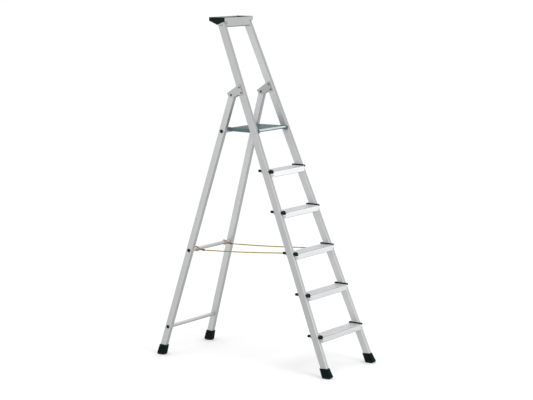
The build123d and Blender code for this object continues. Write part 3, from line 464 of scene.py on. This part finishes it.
# ---- Safety ropes ------------------------------------------------------------------------------
def route_line(side):
    """Points read from the NURBS through one rope's route."""
    curve = bpy.data.curves.new("route", "CURVE")
    curve.dimensions = "3D"
    spline = curve.splines.new("NURBS")
    spline.points.add(len(ROPE_ROUTE) - 1)
    for point, (x, y, z) in zip(spline.points, ROPE_ROUTE):
        point.co = (side * x, y, z, 1)
    spline.order_u = 3
    spline.use_endpoint_u = True
    spline.resolution_u = 24
    carrier = bpy.data.objects.new("route", curve)
    line = bpy.data.meshes.new_from_object(carrier)
    points = [vertex.co.copy() for vertex in line.vertices]
    bpy.data.objects.remove(carrier)
    bpy.data.meshes.remove(line)
    return points


# Spliced eyes round the upper crossbar: the two legs of each eye lie side by side as far as the bar
EYE_ON_BAR = Vector((0.150, 0.4072, 0.659))  # the point of the bar's axis inside the right eye
LOOP_RADIUS = 0.0143
LOOP_START = math.radians(62)  # where the legs come onto the bar, from the line back to the rope
LOOP_POINTS = 36
NECK_HALF = 0.0023
NECK_END = 0.0230  # distance from the bar's axis at which the legs part
EYE_TUCK = 0.0006  # gap between the rope's end and the eye's ends
EYE_LAY = dict(count=3, lay_radius=0.0012, strand_radius=0.00135, pitch=0.015, step=0.0012)
WHIPPING_TURNS = 9
WHIPPING_CORNERS = 16  # points in each turn
WHIPPING_START = 0.0005
WHIPPING_LENGTH = 0.011
WHIPPING_HALF_WIDTH = 0.0035
WHIPPING_OVER_LEG = 0.0030  # how far the twine runs outside each leg's centre line
TWINE = dict(count=1, lay_radius=0.0, strand_radius=0.0007, pitch=0.01, step=0.0011, sides=6)


def eye_path(end, centre, rise):
    """The line of one eye, from the rope's end round the bar and back."""
    towards = (centre - end).normalized()
    parting = centre - towards * NECK_END
    path = [end + towards * EYE_TUCK + rise * NECK_HALF, parting + rise * NECK_HALF]
    for k in range(LOOP_POINTS + 1):
        angle = LOOP_START + (2 * math.pi - 2 * LOOP_START) * k / LOOP_POINTS
        back, up = LOOP_RADIUS * math.cos(angle), LOOP_RADIUS * math.sin(angle)
        path.append(centre - towards * back + rise * up)
    path += [parting - rise * NECK_HALF, end + towards * EYE_TUCK - rise * NECK_HALF]
    return path


for side_name, side in SIDES.items():
    end = Vector((side * ROPE_ROUTE[-1][0], *ROPE_ROUTE[-1][1:]))
    centre = Vector((side * EYE_ON_BAR.x, EYE_ON_BAR.y, EYE_ON_BAR.z))
    towards = (centre - end).normalized()
    rise = Vector((1, 0, 0)).cross(towards).normalized()
    vertices, faces = strands(eye_path(end, centre, rise), **EYE_LAY)
    name = f"eye_loop_{side_name}"
    eye = mesh_piece(name, vertices, faces, MATERIALS["rope_eye"], "rope_eyes")
    coil = []
    last = WHIPPING_TURNS * WHIPPING_CORNERS
    for k in range(last + 1):
        angle = 2 * math.pi * k / WHIPPING_CORNERS
        along = WHIPPING_START + WHIPPING_LENGTH * k / last
        aside = Vector((1, 0, 0)) * math.cos(angle) * WHIPPING_HALF_WIDTH
        over = rise * math.sin(angle) * (NECK_HALF + WHIPPING_OVER_LEG)
        coil.append(end + towards * along + (aside + over))
    vertices, faces = strands(coil, **TWINE)
    name = f"eye_whipping_{side_name}"
    mesh_piece(name, vertices, faces, MATERIALS["whipping"], "rope_eyes")
    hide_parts(f"rope_eye_{side_name}")

ROPE_LAY = dict(count=3, lay_radius=0.0016, strand_radius=0.00175, pitch=0.020, step=0.0016)
ROPE_JOINT = 2  # the point of the route at which the front and rear halves meet
BLEND_HALF = 0.025
for side_name, side in SIDES.items():
    line = route_line(side)
    vertices, faces = strands(line, **ROPE_LAY)
    rope = mesh_piece(f"safety_rope_{side_name}", vertices, faces, MATERIALS["rope"], None)
    chord = Vector(ROPE_ROUTE[ROPE_JOINT + 1]) - Vector(ROPE_ROUTE[ROPE_JOINT - 1])
    ahead = chord.normalized() * BLEND_HALF
    ahead.x *= side
    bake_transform(rope)
    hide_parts(f"safety_rope_{side_name}_front", f"safety_rope_{side_name}_rear")

# The rolled hem under the tray's apron and thin beads along the tray's upper edges, both near
# black: painted shade under the apron's lip and along the tray's rims
APRON_HALF = 0.1215
TRAY_HALF = 0.1483
TRAY_EDGE_Z = 2.0661
HEM_RADIUS = 0.0019
BEAD_RADIUS = 0.0009
for name, y, z, radius, half in (
    ("apron_hem", 0.2048, 2.0119, HEM_RADIUS, APRON_HALF),
    ("tray_bead_front", 0.2032, TRAY_EDGE_Z, BEAD_RADIUS, TRAY_HALF),
    ("tray_bead_rear", 0.3098, TRAY_EDGE_Z, BEAD_RADIUS, TRAY_HALF),
):
    profile = ((0.0, radius), (2 * half, radius))
    start = Vector((-half, y, z))
    vertices, faces = turned(profile, start, Vector((1, 0, 0)), Vector((0, 1, 0)), count=20)
    mesh_piece(name, vertices, faces, MATERIALS["hem"], "front_frame")

# Grommets: a snapped-in plug with a domed face and a short spout that the rope comes out of
GROMMET_PROFILE = (  # along the rope from the flange's rear face, and the radius there
    (-0.0046, 0.0080),
    (-0.0044, 0.0083),
    (-0.0029, 0.0083),
    (-0.0027, 0.0080),
    (-0.0026, 0.0048),
    (0.0, 0.0048),
    (0.0001, 0.0080),
    (0.0004, 0.0083),
    (0.0012, 0.0081),
    (0.0022, 0.0073),
    (0.0030, 0.0062),
    (0.0038, 0.0050),
    (0.0050, 0.0043),
    (0.0080, 0.0040),
    (0.0094, 0.0039),
    (0.0100, 0.0034),
    (0.0100, 0.0024),
)
FLANGE_BACK = Vector((0.118, -0.27083, 0.690))  # the middle of the right rope hole
vertices, faces = [], []
for side in SIDES.values():
    centre = Vector((side * FLANGE_BACK.x, FLANGE_BACK.y, FLANGE_BACK.z))
    points, rings = turned(GROMMET_PROFILE, centre, Vector((0, 1, 0)), Vector((1, 0, 0)))
    faces += [tuple(corner + len(vertices) for corner in ring) for ring in rings]
    vertices += points
black = MATERIALS["black"]
grommets = mesh_piece("grommets", vertices, faces, black, "front_frame")
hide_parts("rope_grommets")

# ---- Floor, light and camera -------------------------------------------------------------------
FLOOR_SIZE = 400
WORLD_STRENGTH = 1.04
floor_look = Look("floor_pale", Roughness=0.9)
speck = floor_look.noise(floor_look.place, 3.0, 2.0, 0.5)
floor_look.color(floor_look.ramp(speck, (0.955, 0.955, 0.955), (0.965, 0.965, 0.965)))
bpy.ops.mesh.primitive_plane_add(size=FLOOR_SIZE)
floor = bpy.context.object
floor.name = "floor"
floor.data.materials.append(floor_look.material)

world = bpy.data.worlds.new("studio")
bpy.context.scene.world = world
world.use_nodes = True
background = world.node_tree.nodes["Background"]
background.inputs["Color"].default_value = (*WHITE, 1)
background.inputs["Strength"].default_value = WORLD_STRENGTH

KEY_PLACE = Vector((-2.0, -6.0, 4.5))
KEY_AIM = Vector((0.0, 0.0, 1.0))
key_data = bpy.data.lights.new("key", "AREA")
key_data.shape = "DISK"
key_data.size = 3.0
key_data.energy = 130
key = bpy.data.objects.new("key", key_data)
bpy.context.scene.collection.objects.link(key)
key.location = KEY_PLACE
key.rotation_euler = (KEY_AIM - KEY_PLACE).to_track_quat("-Z", "Y").to_euler()

CAMERA_PLACE = (-9.3642, -6.0649, 2.5343)
CAMERA_AZIMUTH = math.radians(57.0808)  # from +Y towards +X
CAMERA_PITCH = -0.139043  # this and the roll in radians
CAMERA_ROLL = 0.0032212
camera_data = bpy.data.cameras.new("camera")
camera_data.sensor_width = 36.0
camera_data.lens = 126.32
camera_data.clip_end = 1000
camera = bpy.data.objects.new("camera", camera_data)
bpy.context.scene.collection.objects.link(camera)
flat = math.cos(CAMERA_PITCH)
sine, cosine = math.sin(CAMERA_AZIMUTH), math.cos(CAMERA_AZIMUTH)
forward = Vector((sine * flat, cosine * flat, math.sin(CAMERA_PITCH)))
level = Vector((cosine, -sine, 0.0))
above = level.cross(forward)
right = level * math.cos(CAMERA_ROLL) + above * math.sin(CAMERA_ROLL)
above = right.cross(forward)
turn = Matrix((right, above, -forward)).transposed()
camera.matrix_world = Matrix.Translation(CAMERA_PLACE) @ turn.to_4x4()
bpy.context.scene.camera = camera
bpy.context.scene.view_settings.view_transform = "Standard"
